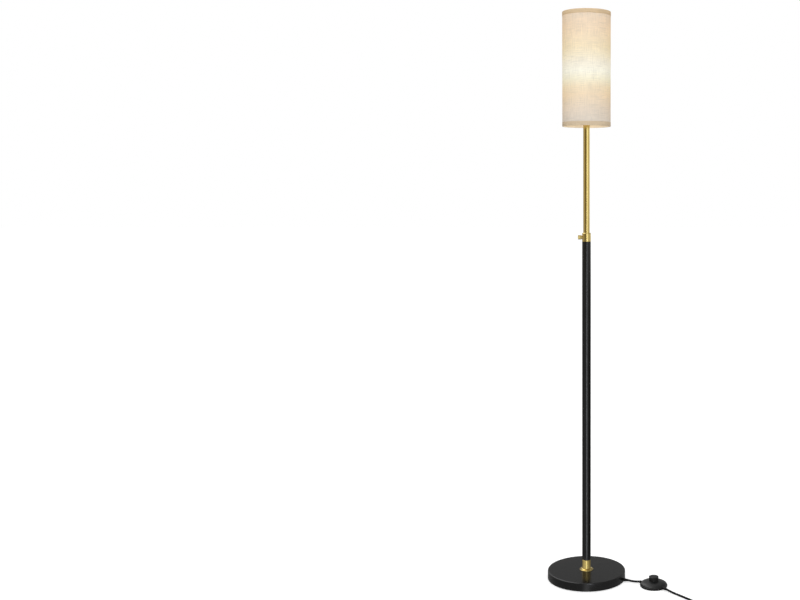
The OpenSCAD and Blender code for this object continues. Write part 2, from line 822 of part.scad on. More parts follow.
module switch_block() {
  floor_top = foot_t + plate_floor;
  color(white) in_switch() difference() {
    translate([-11, -8, floor_top]) cube([22, 16, block_top - floor_top]);
    translate([0, 0, floor_top + 2]) cylinder(r = 2.4, h = block_top);
  }
}

module switch_contacts() {
  floor_top = foot_t + plate_floor;
  color(copper) in_switch() for (side = [0, 180]) rotate([0, 0, side]) {
    translate([11, -3, floor_top]) cube([0.8, 6, 4]);
    translate([11.8, -3, floor_top]) cube([6, 6, 0.8]);
    translate([15, 0, floor_top + 0.8]) cylinder(r = 1.8, h = 1.6, $fn = 32);
  }
}

module switch_screws() {
  color(steel) in_switch() for (a = post_angles) rotate([0, 0, a]) translate([post_r, 0, 0]) {
    translate([0, 0, foot_t + 0.2]) cylinder(r = 2.7, h = 1.3, $fn = 32);
    translate([0, 0, foot_t + 1]) cylinder(r = screw_r, h = 7.5, $fn = 24);
  }
}

// Cord relief through the switch's wall, with its tip pointing out along +X. Its inner flange
// sits in a pocket of the plate and cover, and its outer collar meets them from outside
module switch_relief(out) {
  collar_r = 4.5;
  neck_end = switch_r + 0.1 - (relief_wall_in - relief_flange_t);
  tip = switch_r + out - (relief_wall_in - relief_flange_t);
  translate([relief_wall_in - relief_flange_t, 0, lead_z]) rotate([0, 90, 0]) rotate_extrude()
    polygon([
      [0, 0], [relief_flange_r, 0], [relief_flange_r, relief_flange_t],
      [relief_neck_r, relief_flange_t], [relief_neck_r, neck_end], [collar_r, neck_end],
      [collar_r, neck_end + 1.5], [lead_r + 0.3, tip], [0, tip]]);
}

module switch_inlet_relief() {
  color(rubber) in_switch() rotate([0, 0, inlet_side]) switch_relief(inlet_out);
}

module switch_outlet_relief() {
  color(rubber) in_switch() switch_relief(boot_out);
}

// Free leads ------------------------------------------------------------------------

short_path = smooth_path(concat([exit_tip], short_route, [inlet_tip]), lead_dir, inlet_dir, 2);

coil_start_dir = [sin(coil_start), -cos(coil_start), 0];

// Point on the coil's centreline after turning clockwise by the angle a
function coil_point(a) =
  let (share = min(1, max(0, (a - coil_sweep / 2 + coil_climb / 2) / coil_climb)),
       r = coil_r - coil_pitch / 360 * min(a, coil_sweep - a),
       rise = coil_layer * (3 * pow(share, 2) - 2 * pow(share, 3)))
  [coil_at[0] + r * cos(coil_start - a), coil_at[1] + r * sin(coil_start - a), floor_z + rise];

coil_turns = [for (i = [0:coil_steps]) coil_point(i * coil_step)];
coil_end = coil_start - coil_sweep;
coil_end_dir = [sin(coil_end), -cos(coil_end), 0];
coil_in = coil_turns[0] - lead_d * coil_start_dir;
coil_out = coil_turns[coil_steps] + lead_d * coil_end_dir;
coil_path = concat([coil_in], coil_turns, [coil_out]);

mains_path = smooth_path(concat([outlet_tip], mains_route, [coil_in]),
                         outlet_dir, coil_start_dir, 2);

// Least gap between two turns, from points at least half a turn apart
coil_self_gap = min([for (i = [0:coil_steps - 12]) for (j = [i + 12:coil_steps])
  norm(coil_turns[i] - coil_turns[j])]) - lead_d;

echo(short_lead_mm = path_length(short_path));
echo(mains_lead_mm = path_length(mains_path) + path_length(coil_path));
echo(coil_mm = path_length(coil_path), coil_self_gap_mm = coil_self_gap);

module short_lead() {
  color(rubber) tube_along(short_path, lead_r, 10, from = lead_dir, to = inlet_dir);
}

module mains_lead() {
  color(rubber) tube_along(mains_path, lead_r, 10, from = outlet_dir, to = coil_start_dir);
}

module mains_coil() {
  color(rubber) tube_along(coil_path, lead_r, 6);
}

// Plug ------------------------------------------------------------------------------

module in_plug() {
  translate(coil_out) rotate([0, 0, coil_end - 90]) children();
}

// Moulded plug with its tapered, ribbed cord relief
module plug_body() {
  rib_at = [4:4:16];
  color(rubber) in_plug() {
    rotate([0, 90, 0]) rotate_extrude() polygon(concat(
      [[0, 0], [lead_r + 0.4, 0]],
      [for (x = rib_at) let (r = lead_r + 0.4 + 1.8 * x / plug_relief_l)
        each [[r, x], [r - 0.6, x + 0.3], [r - 0.6, x + 1.5], [r + 0.1, x + 1.8]]],
      [[lead_r + 2.2, plug_relief_l + 1], [0, plug_relief_l + 1]]));
    hull() {
      translate([plug_relief_l, -5, -5]) cube([1, 10, 10]);
      translate([plug_relief_l + 10, 3 - plug_w / 2, -plug_h / 2])
        cube([1, plug_w - 6, plug_h]);
      translate([plug_relief_l + 10, -plug_w / 2, 3 - plug_h / 2])
        cube([1, plug_w, plug_h - 6]);
      translate([plug_relief_l + plug_l - 1, 3 - plug_w / 2, -plug_h / 2])
        cube([1, plug_w - 6, plug_h]);
      translate([plug_relief_l + plug_l - 1, -plug_w / 2, 3 - plug_h / 2])
        cube([1, plug_w, plug_h - 6]);
    }
  }
}

module plug_blades() {
  blade_t = 1.5;
  blade_h = 6.3;
  color(steel) in_plug() for (side = [-1, 1])
    translate([plug_relief_l + plug_l, side * blade_gap / 2 - blade_t / 2, -blade_h / 2])
      rotate([0, 90, 0]) translate([-blade_h, 0, 0]) difference() {
        linear_extrude(blade_l) square([blade_h, blade_t]);
        translate([blade_h / 2, -eps, blade_l - 4.5]) rotate([-90, 0, 0])
          cylinder(r = 1.5, h = blade_t + 2 * eps, $fn = 24);
      }
}

base_cover();
base_weight();
base_pad();
base_flange();
base_ferrule();
base_tube();
base_nut();
base_washer();
base_cord_relief();
lower_pole();
upper_pole();
foot_insert();
joiner_stud();
joiner_socket();
clamp_collar();
clamp_pad();
thumb_screw();
friction_ring();
guide_bush();
stem_tube();
stem_top_plug();
holder_nipple();
holder_lock_nut();
holder_cap();
holder_core();
holder_contact();
holder_terminals();
holder_screw_shell();
holder_sleeve();
shade_ring_nut();
shade_carrier();
shade_top_ring();
shade_liner();
shade_cover();
shade_hem_bottom();
shade_hem_top();
bulb_cap();
bulb_body();
bulb_led_board();
bulb_globe();
pole_lead();
slack_lead();
stem_lead();
switch_feet();
switch_plate();
switch_cover();
switch_button();
switch_spring();
switch_block();
switch_contacts();
switch_screws();
switch_inlet_relief();
switch_outlet_relief();
short_lead();
mains_lead();
mains_coil();
plug_body();
plug_blades();
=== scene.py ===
"""Looks of the telescopic floor lamp: camera, cords, surface finishes, shade fabric and studio."""
import json
import math
import random

import bpy
import numpy as np
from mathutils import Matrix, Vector


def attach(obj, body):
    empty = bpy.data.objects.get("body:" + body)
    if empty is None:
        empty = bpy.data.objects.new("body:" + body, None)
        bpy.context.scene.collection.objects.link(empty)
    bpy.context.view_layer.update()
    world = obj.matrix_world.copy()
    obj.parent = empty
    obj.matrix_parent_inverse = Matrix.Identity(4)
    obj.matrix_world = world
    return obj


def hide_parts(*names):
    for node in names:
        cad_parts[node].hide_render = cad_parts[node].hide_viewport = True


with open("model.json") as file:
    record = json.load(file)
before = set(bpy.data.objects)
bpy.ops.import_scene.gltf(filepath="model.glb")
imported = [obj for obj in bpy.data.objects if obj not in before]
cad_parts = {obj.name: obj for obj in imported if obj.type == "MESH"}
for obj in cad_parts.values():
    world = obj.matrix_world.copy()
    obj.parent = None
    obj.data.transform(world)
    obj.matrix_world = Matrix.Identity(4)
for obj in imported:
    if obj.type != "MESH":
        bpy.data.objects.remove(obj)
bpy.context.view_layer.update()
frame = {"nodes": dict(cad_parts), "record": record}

MM = 0.001


# Camera -----------------------------------------------------------------------------------------

CAMERA_AT = (0, -3.053, 1.146)
CAMERA_DOWN = 3.95
CAMERA_LENS = 47.25
CAMERA_SENSOR = 36
CAMERA_SHIFT = (-0.2331, -0.045)


def make_camera():
    """The photograph's view: the lamp stands right of the middle and the lens looks a little down."""
    data = bpy.data.cameras.new("camera")
    data.sensor_width = CAMERA_SENSOR
    data.lens = CAMERA_LENS
    data.shift_x, data.shift_y = CAMERA_SHIFT
    camera = bpy.data.objects.new("camera", data)
    camera.location = CAMERA_AT
    camera.rotation_euler = (math.radians(90 - CAMERA_DOWN), 0, 0)
    bpy.context.scene.collection.objects.link(camera)
    bpy.context.scene.camera = camera


make_camera()


# Cords ------------------------------------------------------------------------------------------
# Places in millimetres and headings in degrees from +X, as the construction has them

LEAD_D = 6.2
LEAD_Z = 6
BASE_R = 115
BASE_BOOT_OUT = 12
EXIT_HEADING = -17
SWITCH_AT = (195.7, -67)
SWITCH_R = 39.75
INLET_OUT = 5
INLET_HEADING = -24
OUTLET_OUT = 14
OUTLET_HEADING = -51
SHORT_ROUTE = [(133, -40.8, 4.9), (143, -44.4, 4.9)]
MAINS_ROUTE = [
    (237, -117, 4.9), (245.5, -126, 3.7), (254, -135, 3.1), (263, -145.5, 3.1), (272, -156, 3.1),
    (281, -167, 3.1), (290, -178, 3.1), (299.5, -190, 3.1), (309.5, -202.5, 3.1), (320, -216, 3.1)]
COIL_AT = (297, -264)
COIL_R = 48.1
COIL_START = 38
COIL_SWEEP = 2280
COIL_PITCH = 6.9
COIL_LAYER = 6.7
COIL_CLIMB = 180
COIL_STEP = 5
ROUTE_PARTS = 8


def level(degrees):
    """Level direction at an angle from +X."""
    return Vector((math.cos(math.radians(degrees)), math.sin(math.radians(degrees)), 0))


def smooth_path(points, start_dir, end_dir, parts):
    """Smooth curve through the points that starts along start_dir and ends along end_dir."""
    p = [Vector(point) for point in points]
    q = [p[0] - (p[1] - p[0]).length * start_dir, *p, p[-1] + (p[-1] - p[-2]).length * end_dir]
    path = []
    for i in range(len(p) - 1):
        a, b, c, d = q[i:i + 4]
        for k in range(parts):
            t = k / parts
            path.append(0.5 * (2 * b + (c - a) * t + (2 * a - 5 * b + 4 * c - d) * t ** 2
                               + (3 * b - a - 3 * c + d) * t ** 3))
    return path + [p[-1]]


def coil_point(turned):
    """Point on the coil's centreline after turning clockwise by an angle in degrees."""
    share = min(1, max(0, (turned - COIL_SWEEP / 2 + COIL_CLIMB / 2) / COIL_CLIMB))
    radius = COIL_R - COIL_PITCH / 360 * min(turned, COIL_SWEEP - turned)
    rise = COIL_LAYER * (3 * share ** 2 - 2 * share ** 3)
    return Vector((*COIL_AT, LEAD_D / 2 + rise)) + radius * level(COIL_START - turned)


def lead_curve(name, path):
    """Round lead along a path in millimetres, as a curve with closed ends."""
    data = bpy.data.curves.new(name, "CURVE")
    data.dimensions = "3D"
    data.bevel_depth = 1
    data.bevel_resolution = 3
    data.use_fill_caps = True
    spline = data.splines.new("POLY")
    spline.points.add(len(path) - 1)
    for point, place in zip(spline.points, path):
        point.co = (*(place * MM), 1)
        point.radius = LEAD_D / 2 * MM
    spline.use_smooth = True
    lead = bpy.data.objects.new(name, data)
    bpy.context.scene.collection.objects.link(lead)
    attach(lead, "stand")
    return lead


def make_leads():
    """The short lead from base to switch, and the long one from switch to coil and plug."""
    exit_dir, inlet_dir, outlet_dir = level(EXIT_HEADING), level(INLET_HEADING), level(OUTLET_HEADING)
    switch_at, lead_up = Vector((*SWITCH_AT, 0)), Vector((0, 0, LEAD_Z))
    exit_tip = (BASE_R + BASE_BOOT_OUT) * exit_dir + lead_up
    inlet_tip = switch_at - (SWITCH_R + INLET_OUT) * inlet_dir + lead_up
    outlet_tip = switch_at + (SWITCH_R + OUTLET_OUT) * outlet_dir + lead_up
    turns = [coil_point(a) for a in range(0, COIL_SWEEP + 1, COIL_STEP)]
    coil_start_dir = level(COIL_START - 90)
    coil_end_dir = level(COIL_START - COIL_SWEEP - 90)
    coil_in = turns[0] - LEAD_D * coil_start_dir
    coil_out = turns[-1] + LEAD_D * coil_end_dir

    short = lead_curve("lead_to_switch", smooth_path(
        [exit_tip, *SHORT_ROUTE, inlet_tip], exit_dir, inlet_dir, ROUTE_PARTS))
    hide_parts("short_lead")

    route = smooth_path([outlet_tip, *MAINS_ROUTE, coil_in], outlet_dir, coil_start_dir, ROUTE_PARTS)
    mains = lead_curve("lead_to_plug", route + turns + [coil_out])
    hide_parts("mains_lead", "mains_coil")
    return [short, mains]


leads = make_leads()


# Materials --------------------------------------------------------------------------------------

def linear(red, green, blue):
    """Scene colour of an 8-bit screen colour."""
    def one(value):
        value /= 255
        return value / 12.92 if value <= 0.04045 else ((value + 0.055) / 1.055) ** 2.4
    return one(red), one(green), one(blue), 1


def rgba(light):
    """Socket colour of a plain level of light, or of a red, green and blue one."""
    return (*light, 1) if isinstance(light, tuple) else (light, light, light, 1)


class Graph:
    """Short ways to add nodes to a node tree."""

    def __init__(self, tree):
        self.tree, self.nodes = tree, tree.nodes

    def link(self, source, target):
        """Joins an output to an input, or sets the input to a plain value."""
        if isinstance(source, bpy.types.NodeSocket):
            self.tree.links.new(source, target)
        else:
            target.default_value = source

    def coordinates(self, kind):
        return self.nodes.new("ShaderNodeTexCoord").outputs[kind]

    def math(self, operation, a, b=0.0, clamp=False):
        node = self.nodes.new("ShaderNodeMath")
        node.operation = operation
        node.use_clamp = clamp
        self.link(a, node.inputs[0])
        self.link(b, node.inputs[1])
        return node.outputs[0]

    def combine(self, x, y, z):
        node = self.nodes.new("ShaderNodeCombineXYZ")
        for value, target in zip((x, y, z), node.inputs):
            self.link(value, target)
        return node.outputs[0]

    def split(self, vector):
        node = self.nodes.new("ShaderNodeSeparateXYZ")
        self.link(vector, node.inputs[0])
        return node.outputs

    def noise(self, vector, scale, detail=2.0, rough=0.5):
        node = self.nodes.new("ShaderNodeTexNoise")
        self.link(vector, node.inputs["Vector"])
        node.inputs["Scale"].default_value = scale
        node.inputs["Detail"].default_value = detail
        node.inputs["Roughness"].default_value = rough
        return node.outputs["Fac"]

    def between(self, value, low, high, new_low, new_high):
        """Maps a value from one range to another, held at its ends."""
        node = self.nodes.new("ShaderNodeMapRange")
        self.link(value, node.inputs["Value"])
        ends = {"From Min": low, "From Max": high, "To Min": new_low, "To Max": new_high}
        for key, number in ends.items():
            node.inputs[key].default_value = number
        return node.outputs["Result"]

    def mix(self, share, a, b):
        node = self.nodes.new("ShaderNodeMix")
        node.data_type = "RGBA"
        self.link(share, node.inputs["Factor"])
        self.link(a, node.inputs[6])
        self.link(b, node.inputs[7])
        return node.outputs[2]

    def ramp(self, value, stops):
        """Colours along a value from 0 to 1, given as (place, light or colour)."""
        node = self.nodes.new("ShaderNodeValToRGB")
        self.link(value, node.inputs[0])
        elements = node.color_ramp.elements
        while len(elements) < len(stops):
            elements.new(0.5)
        for element, (place, light) in zip(elements, stops):
            element.position = place
            element.color = rgba(light)
        return node.outputs[0]

    def turned(self, x, y):
        """Angle about the lamp's axis in radians, from the front (-Y) towards +X."""
        return self.math("ARCTAN2", x, self.math("MULTIPLY", y, -1.0))

    def away(self, x, y, place=(0, 0)):
        """Level distance from a place, or from the lamp's axis."""
        across, along = self.math("SUBTRACT", x, place[0]), self.math("SUBTRACT", y, place[1])
        squares = self.math("MULTIPLY", across, across), self.math("MULTIPLY", along, along)
        return self.math("SQRT", self.math("ADD", *squares))

    def panels(self, turned, stops):
        """Upright panels round about, given as (degrees from the front towards +X, light or colour)."""
        share = self.math("ADD", self.math("DIVIDE", turned, 2 * math.pi), 0.5)
        return self.ramp(share, [(degrees / 360 + 0.5, light) for degrees, light in stops])

    def streaks(self, across, up, seed=0.0, detail=3, rough=0.6):
        """Noise drawn out along threads or brush marks, in the units of across and up."""
        return self.noise(self.combine(across, up, seed), 1, detail, rough)


class Finish(Graph):
    """A material built on the Principled surface."""

    def __init__(self, name, roughness, metallic=0.0, specular=0.5):
        self.material = bpy.data.materials.new(name)
        self.material.use_nodes = True
        super().__init__(self.material.node_tree)
        self.surface = self.nodes["Principled BSDF"]
        self.surface.inputs["Roughness"].default_value = roughness
        self.surface.inputs["Metallic"].default_value = metallic
        self.surface.inputs["Specular IOR Level"].default_value = specular
        self.place = self.coordinates("Object")

    def to_surface(self, socket, source):
        self.link(source, self.surface.inputs[socket])

    def bump(self, height, distance):
        node = self.nodes.new("ShaderNodeBump")
        node.inputs["Distance"].default_value = distance
        self.link(height, node.inputs["Height"])
        self.to_surface("Normal", node.outputs[0])

    def around(self, radius):
        """Way round the lamp's axis, measured at a radius and starting at the back, and height."""
        x, y, z = self.split(self.place)
        return self.math("MULTIPLY", self.turned(x, y), radius), z


def moulded(name, colour, roughness, grain, depth, tint, metallic=0.0, specular=0.5):
    """A plain-coloured surface with a fine grain (depth in mm), slight blotches and an uneven gloss."""
    f = Finish(name, roughness, metallic, specular)
    blotch = f.noise(f.place, 35, 3)
    fine = f.noise(f.place, grain, 2)
    dark = rgba(tuple(c * (1 - tint) for c in colour[:3]))
    light = rgba(tuple(min(1, c * (1 + tint)) for c in colour[:3]))
    f.to_surface("Base Color", f.mix(f.between(blotch, 0.3, 0.7, 0, 1), dark, light))
    f.to_surface("Roughness", f.between(fine, 0.3, 0.7, roughness * 0.88, min(1, roughness * 1.12)))
    f.bump(fine, depth * MM)
    return f.material


def powder_coat():
    """Black powder coat: a fine pebbled satin skin."""
    f = Finish("black_powder_coat", 0.2)
    pebble = f.noise(f.place, 1300, 3, 0.55)
    cloud = f.noise(f.place, 18, 4)
    blotch = f.between(cloud, 0.3, 0.7, 0, 1)
    f.to_surface("Base Color", f.mix(blotch, linear(9, 9, 9), linear(14, 14, 14)))
    f.to_surface("Roughness", f.between(pebble, 0.3, 0.7, 0.17, 0.23))
    f.bump(pebble, 0.02 * MM)
    return f.material


STEM_R = 0.0095


def brass():
    """Satin brass plate, brushed round the tube, with faint darker drifts."""
    f = Finish("satin_brass", 0.17, metallic=1.0)
    way, height = f.around(STEM_R)
    brushed = f.streaks(f.math("MULTIPLY", way, 60.0), f.math("MULTIPLY", height, 5200.0))
    drift = f.between(f.noise(f.place, 22, 3), 0.3, 0.7, 0, 1)
    f.to_surface("Base Color", f.mix(drift, linear(210, 187, 117), linear(217, 195, 126)))
    f.to_surface("Roughness", f.between(brushed, 0.3, 0.7, 0.14, 0.20))
    f.bump(brushed, 0.002 * MM)
    return f.material


SHADE_Z = 1.333
SHADE_TOP = 1.659
SHADE_R = 0.07
THREAD = 0.85 * MM
# Radii between which the painted glow on the cloth goes from that of its inside to that of its outside
LIT_FROM, LIT_TO = 0.0655, 0.0668
# Painted glow on the cloth's inside face
INSIDE_LIGHT = (0.80, 0.66, 0.47)
# Painted glow of the bulb through the cloth, from the shade's bottom to its top, as (share of the
# height, colour)
LINEN_LIGHT = [
    (0.0, (0.20, 0.14, 0.08)), (0.13, (0.30, 0.19, 0.08)), (0.27, (0.41, 0.24, 0.04)),
    (0.335, (0.42, 0.28, 0.07)), (0.40, (0.46, 0.40, 0.21)), (0.47, (0.50, 0.47, 0.34)),
    (0.54, (0.47, 0.41, 0.27)), (0.61, (0.46, 0.36, 0.16)), (0.68, (0.44, 0.30, 0.07)),
    (0.81, (0.44, 0.26, 0.06)), (0.88, (0.41, 0.23, 0.05)), (1.0, (0.32, 0.18, 0.05))]
# Painted glow on the film behind the linen, from its bottom to its top, as (share of the height,
# colour)
FILM_LIGHT = [(0.0, (0.30, 0.26, 0.20)), (0.47, (0.12, 0.11, 0.08)), (1.0, (0.03, 0.03, 0.02))]


def linen(name, glow, colour):
    """Slubby plain-weave linen with a painted glow of the bulb behind it. glow is the share of that
    light that comes through.
    """
    f = Finish(name, 0.92, specular=0.2)
    way, height = f.around(SHADE_R)

    def threads(across, up, seed, detail, rough):
        """Uneven threads, with so many changes a metre across and up."""
        return f.streaks(f.math("MULTIPLY", way, across), f.math("MULTIPLY", height, up),
                         seed, detail, rough)

    warp = threads(620.0, 26.0, 0.0, 3, 0.6)
    weft = threads(24.0, 620.0, 3.0, 3, 0.6)
    slub_up = f.between(threads(420.0, 38.0, 7.0, 1, 0.5), 0.66, 0.76, 0, 1)
    slub_over = f.between(threads(34.0, 420.0, 11.0, 1, 0.5), 0.64, 0.74, 0, 1)
    weave = f.math("MULTIPLY", *(f.math("SINE", f.math("MULTIPLY", along, 2 * math.pi / THREAD))
                                 for along in (way, height)))
    cloth = f.math("ADD", f.math("MULTIPLY", warp, 0.5), f.math("MULTIPLY", weft, 0.5))
    slubs = f.math("MAXIMUM", slub_up, slub_over)
    cloud = f.noise(f.place, 14, 2)
    tone = f.between(cloth, 0.34, 0.66, 0, 1)
    tone = f.math("SUBTRACT", tone, f.math("MULTIPLY", slubs, 0.75))
    tone = f.math("ADD", tone, f.math("MULTIPLY", weave, 0.08))
    tone = f.math("ADD", tone, f.between(cloud, 0.3, 0.7, -0.15, 0.15), clamp=True)
    f.to_surface("Base Color", f.mix(tone, rgba(tuple(0.84 * c for c in colour[:3])), colour))
    # Painted glow: emission by height that stands in for the bulb's light through the cloth
    light = f.ramp(f.between(height, SHADE_Z, SHADE_TOP, 0, 1), LINEN_LIGHT)
    x, y, _ = f.split(f.place)
    inside = f.between(f.away(x, y), LIT_FROM, LIT_TO, 1, 0)
    f.to_surface("Emission Color", f.mix(inside, light, rgba(INSIDE_LIGHT)))
    f.to_surface("Emission Strength", f.between(tone, 0, 1, 0.72 * glow, 1.08 * glow))
    relief = f.math("ADD", cloth, f.math("MULTIPLY", weave, 0.25))
    relief = f.math("ADD", relief, f.math("MULTIPLY", slubs, 0.5))
    f.bump(relief, 0.12 * MM)
    return f.material


def shade_film():
    """White film behind the linen, with a painted glow that fades towards the top."""
    f = Finish("shade_film", 0.55)
    grain = f.noise(f.place, 500, 2)
    share = f.between(f.split(f.place)[2], SHADE_Z, SHADE_TOP, 0, 1)
    blotch = f.between(grain, 0.3, 0.7, 0, 1)
    f.to_surface("Base Color", f.mix(blotch, linear(236, 230, 214), linear(243, 238, 225)))
    f.to_surface("Emission Color", f.ramp(share, FILM_LIGHT))
    f.surface.inputs["Emission Strength"].default_value = 1
    f.bump(grain, 0.01 * MM)
    return f.material


def bulb_glass():
    """Milky diffuser, lit."""
    f = Finish("bulb_diffuser", 0.3)
    cloud = f.noise(f.place, 60, 2)
    blotch = f.between(cloud, 0.3, 0.7, 0, 1)
    f.to_surface("Base Color", f.mix(cloud, (0.86, 0.83, 0.76, 1), (0.93, 0.90, 0.84, 1)))
    f.to_surface("Emission Color", f.mix(blotch, (1.0, 0.86, 0.62, 1), (1.0, 0.90, 0.70, 1)))
    f.surface.inputs["Emission Strength"].default_value = 0.8
    return f.material


finishes = {
    "black_powder": powder_coat(),
    "satin_brass": brass(),
    "cast_iron": moulded("cast_iron", linear(74, 75, 78), 0.7, 260, 0.15, 0.2, 0.6),
    "foam_rubber": moulded("foam_rubber", linear(34, 34, 35), 0.95, 700, 0.25, 0.2, specular=0.2),
    "zinc_steel": moulded("zinc_steel", linear(176, 178, 180), 0.32, 1500, 0.01, 0.1, 1.0),
    "white_nylon": moulded("white_nylon", linear(226, 224, 216), 0.45, 900, 0.01, 0.05),
    "holder_black": moulded("holder_black", linear(30, 30, 31), 0.35, 1200, 0.01, 0.1),
    "ceramic": moulded("ceramic", linear(232, 229, 220), 0.22, 600, 0.01, 0.05),
    "contact_metal": moulded("contact_metal", linear(205, 160, 92), 0.3, 1500, 0.008, 0.12, 1.0),
    "wire_enamel": moulded("wire_enamel", linear(226, 222, 212), 0.35, 900, 0.012, 0.05),
    "shade_film": shade_film(),
    "linen": linen("linen", 1.0, linear(195, 193, 189)),
    "bulb_plastic": moulded("bulb_plastic", linear(236, 234, 228), 0.4, 900, 0.01, 0.04),
    "bulb_diffuser": bulb_glass(),
    "lead_pvc": moulded("lead_pvc", linear(13, 13, 13), 0.5, 1400, 0.02, 0.15, specular=0.2),
    "switch_black": moulded("switch_black", linear(15, 15, 15), 0.38, 1500, 0.02, 0.1),
    "blade_metal": moulded("blade_metal", linear(196, 190, 170), 0.25, 1800, 0.006, 0.06, 1.0),
}


def finish_cad_nodes():
    """Gives every carried-over node the finish of its material slot."""
    for part in frame["record"]["subparts"]:
        mesh = frame["nodes"][part["node"]].data
        mesh.materials.clear()
        mesh.materials.append(finishes[part["material_slot"]])


finish_cad_nodes()
for lead in leads:
    lead.data.materials.append(finishes["lead_pvc"])


# Shade fabric -----------------------------------------------------------------------------------

HEM_H = 0.012
HEM_INNER_H = 0.008
HEM_T = 0.00035
HEM_INNER_R = 0.06495
HEM_CORNER = 0.0012
COVER_R = 0.06965
LINEN_T = 0.0008
LAP_HALF = math.radians(3.5)
LAP_RISE = 0.00028
DRUM_COLUMNS, DRUM_ROWS = 288, 164
# Raised threads: how many to a row or column, and their least and greatest reach in points
WEFT_THREADS = (2, (4, 18))
WARP_THREADS = (1, (6, 26))
THREAD_RISE = 0.00007
THREAD_PILE = 1.5
HEM_CLEAR = 0.001
HEM_COLUMNS = 240
HEM_UNEVEN = 0.00025


def mesh_object(name, vertices, faces, material):
    """A smooth-shaded mesh piece in the shared frame."""
    mesh = bpy.data.meshes.new(name)
    mesh.from_pydata(vertices, [], faces)
    mesh.update()
    mesh.shade_smooth()
    mesh.materials.append(material)
    piece = bpy.data.objects.new(name, mesh)
    bpy.context.scene.collection.objects.link(piece)
    return piece


def ring_faces(rows, columns, closed):
    """Quads between rows of points that go all round. Closed joins the last row to the first."""
    faces = []
    for j in range(rows if closed else rows - 1):
        upper = (j + 1) % rows
        for i in range(columns):
            right = (i + 1) % columns
            faces.append((j * columns + i, j * columns + right,
                          upper * columns + right, upper * columns + i))
    return faces


def thread_relief(rng, count, reaches, places):
    """Rise of raised threads along a row or column of the cloth: each is a short bump."""
    relief = np.zeros(places)
    for _ in range(count):
        start, reach = rng.randrange(places), rng.randrange(*reaches)
        for k in range(reach):
            relief[(start + k) % places] += math.sin(math.pi * (k + 0.5) / reach)
    return relief


def make_linen_drum():
    """The linen stretched round the frame, with raised threads and a lap seam down the back."""
    rng = random.Random(7)
    rows, columns = DRUM_ROWS, DRUM_COLUMNS
    rise = np.zeros((rows, columns))
    for j in range(rows):
        rise[j] += thread_relief(rng, *WEFT_THREADS, columns)
    for i in range(columns):
        rise[:, i] += thread_relief(rng, *WARP_THREADS, rows)
    low, high = SHADE_Z + HEM_CORNER, SHADE_TOP - HEM_CORNER
    vertices = []
    for j in range(rows):
        z = low + (high - low) * j / (rows - 1)
        in_hem = min(z - SHADE_Z, SHADE_TOP - z) < HEM_H + HEM_CLEAR
        for i in range(columns):
            angle = 2 * math.pi * (i + 0.5) / columns
            lap = LAP_RISE if abs(angle - math.pi / 2) < LAP_HALF else 0
            r = COVER_R + (0 if in_hem else THREAD_RISE * min(rise[j, i], THREAD_PILE) + lap)
            vertices.append((r * math.cos(angle), r * math.sin(angle), z))
    drum = mesh_object("linen_drum", vertices, ring_faces(rows, columns, False), finishes["linen"])
    wall = drum.modifiers.new("thickness", "SOLIDIFY")
    wall.thickness = LINEN_T
    wall.offset = -1
    return drum


def hem_profile():
    """Hem band's section as (radius, height over the rim), outer leg first, round the wire."""
    r_out, r_in, c, t = SHADE_R, HEM_INNER_R, HEM_CORNER, HEM_T
    quarter = [math.radians(a) for a in (0, 30, 60, 90)]
    outer = [(r_out, HEM_H), (r_out, HEM_H * 0.66), (r_out, HEM_H * 0.33)]
    outer += [(r_out - c + c * math.cos(a), c - c * math.sin(a)) for a in quarter]
    outer += [(r_in + c - c * math.sin(a), c - c * math.cos(a)) for a in quarter]
    outer += [(r_in, HEM_INNER_H)]
    inner = [(r_in + t, HEM_INNER_H)]
    inner += [(r_in + c - (c - t) * math.cos(a), c - (c - t) * math.sin(a)) for a in quarter]
    inner += [(r_out - c + (c - t) * math.sin(a), c - (c - t) * math.cos(a)) for a in quarter]
    return outer + inner + [(r_out - t, HEM_H)]


def make_hem(name, rim_z, way_up, seed, material):
    """One hem band: the fabric strip folded round the ring, with a slightly uneven cut edge."""
    rng = random.Random(seed)
    section = hem_profile()
    waves = [(rng.randrange(3, 30), rng.uniform(0, 2 * math.pi), rng.uniform(0.2, 1))
             for _ in range(9)]
    vertices = []
    for r, h in section:
        for i in range(HEM_COLUMNS):
            angle = 2 * math.pi * i / HEM_COLUMNS
            wave = sum(size * math.sin(n * angle + phase) for n, phase, size in waves) / len(waves)
            z = rim_z + way_up * (h + HEM_UNEVEN * wave * (h / HEM_H))
            vertices.append((r * math.cos(angle), r * math.sin(angle), z))
    faces = ring_faces(len(section), HEM_COLUMNS, True)
    if way_up < 0:
        faces = [face[::-1] for face in faces]
    return mesh_object(name, vertices, faces, material)


# The hems carry the same painted glow, weaker through the doubled cloth
hem_linen = linen("linen_hem", 0.62, linear(196, 180, 156))
drum = make_linen_drum()
hem_low = make_hem("hem_low", SHADE_Z, 1, 21, hem_linen)
hem_high = make_hem("hem_high", SHADE_TOP, -1, 22, hem_linen)
for piece, node in ((drum, "shade_cover"), (hem_low, "shade_hem_bottom"), (hem_high, "shade_hem_top")):
    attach(piece, "stem")
    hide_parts(node)


# Studio -----------------------------------------------------------------------------------------

# What metal sees round about, as (degrees from the front towards +X, light): level with it
HORIZON = [
    (-180, (0.60, 0.59, 0.57)), (-126, (0.50, 0.47, 0.42)), (-88, (0.62, 0.56, 0.46)),
    (-61, (0.42, 0.36, 0.27)), (-45, (0.22, 0.17, 0.08)), (-20, (0.17, 0.12, 0.04)),
    (-6, (0.30, 0.27, 0.18)), (5, (0.42, 0.41, 0.32)), (12, (0.90, 0.91, 0.90)),
    (20, (2.05, 2.10, 2.18)), (34, (1.45, 1.50, 1.58)), (48, (1.12, 1.10, 1.05)),
    (72, (0.68, 0.64, 0.54)), (90, (0.82, 0.79, 0.72)), (112, 1.10), (140, (0.85, 0.85, 0.84)),
    (180, (0.60, 0.59, 0.57))]
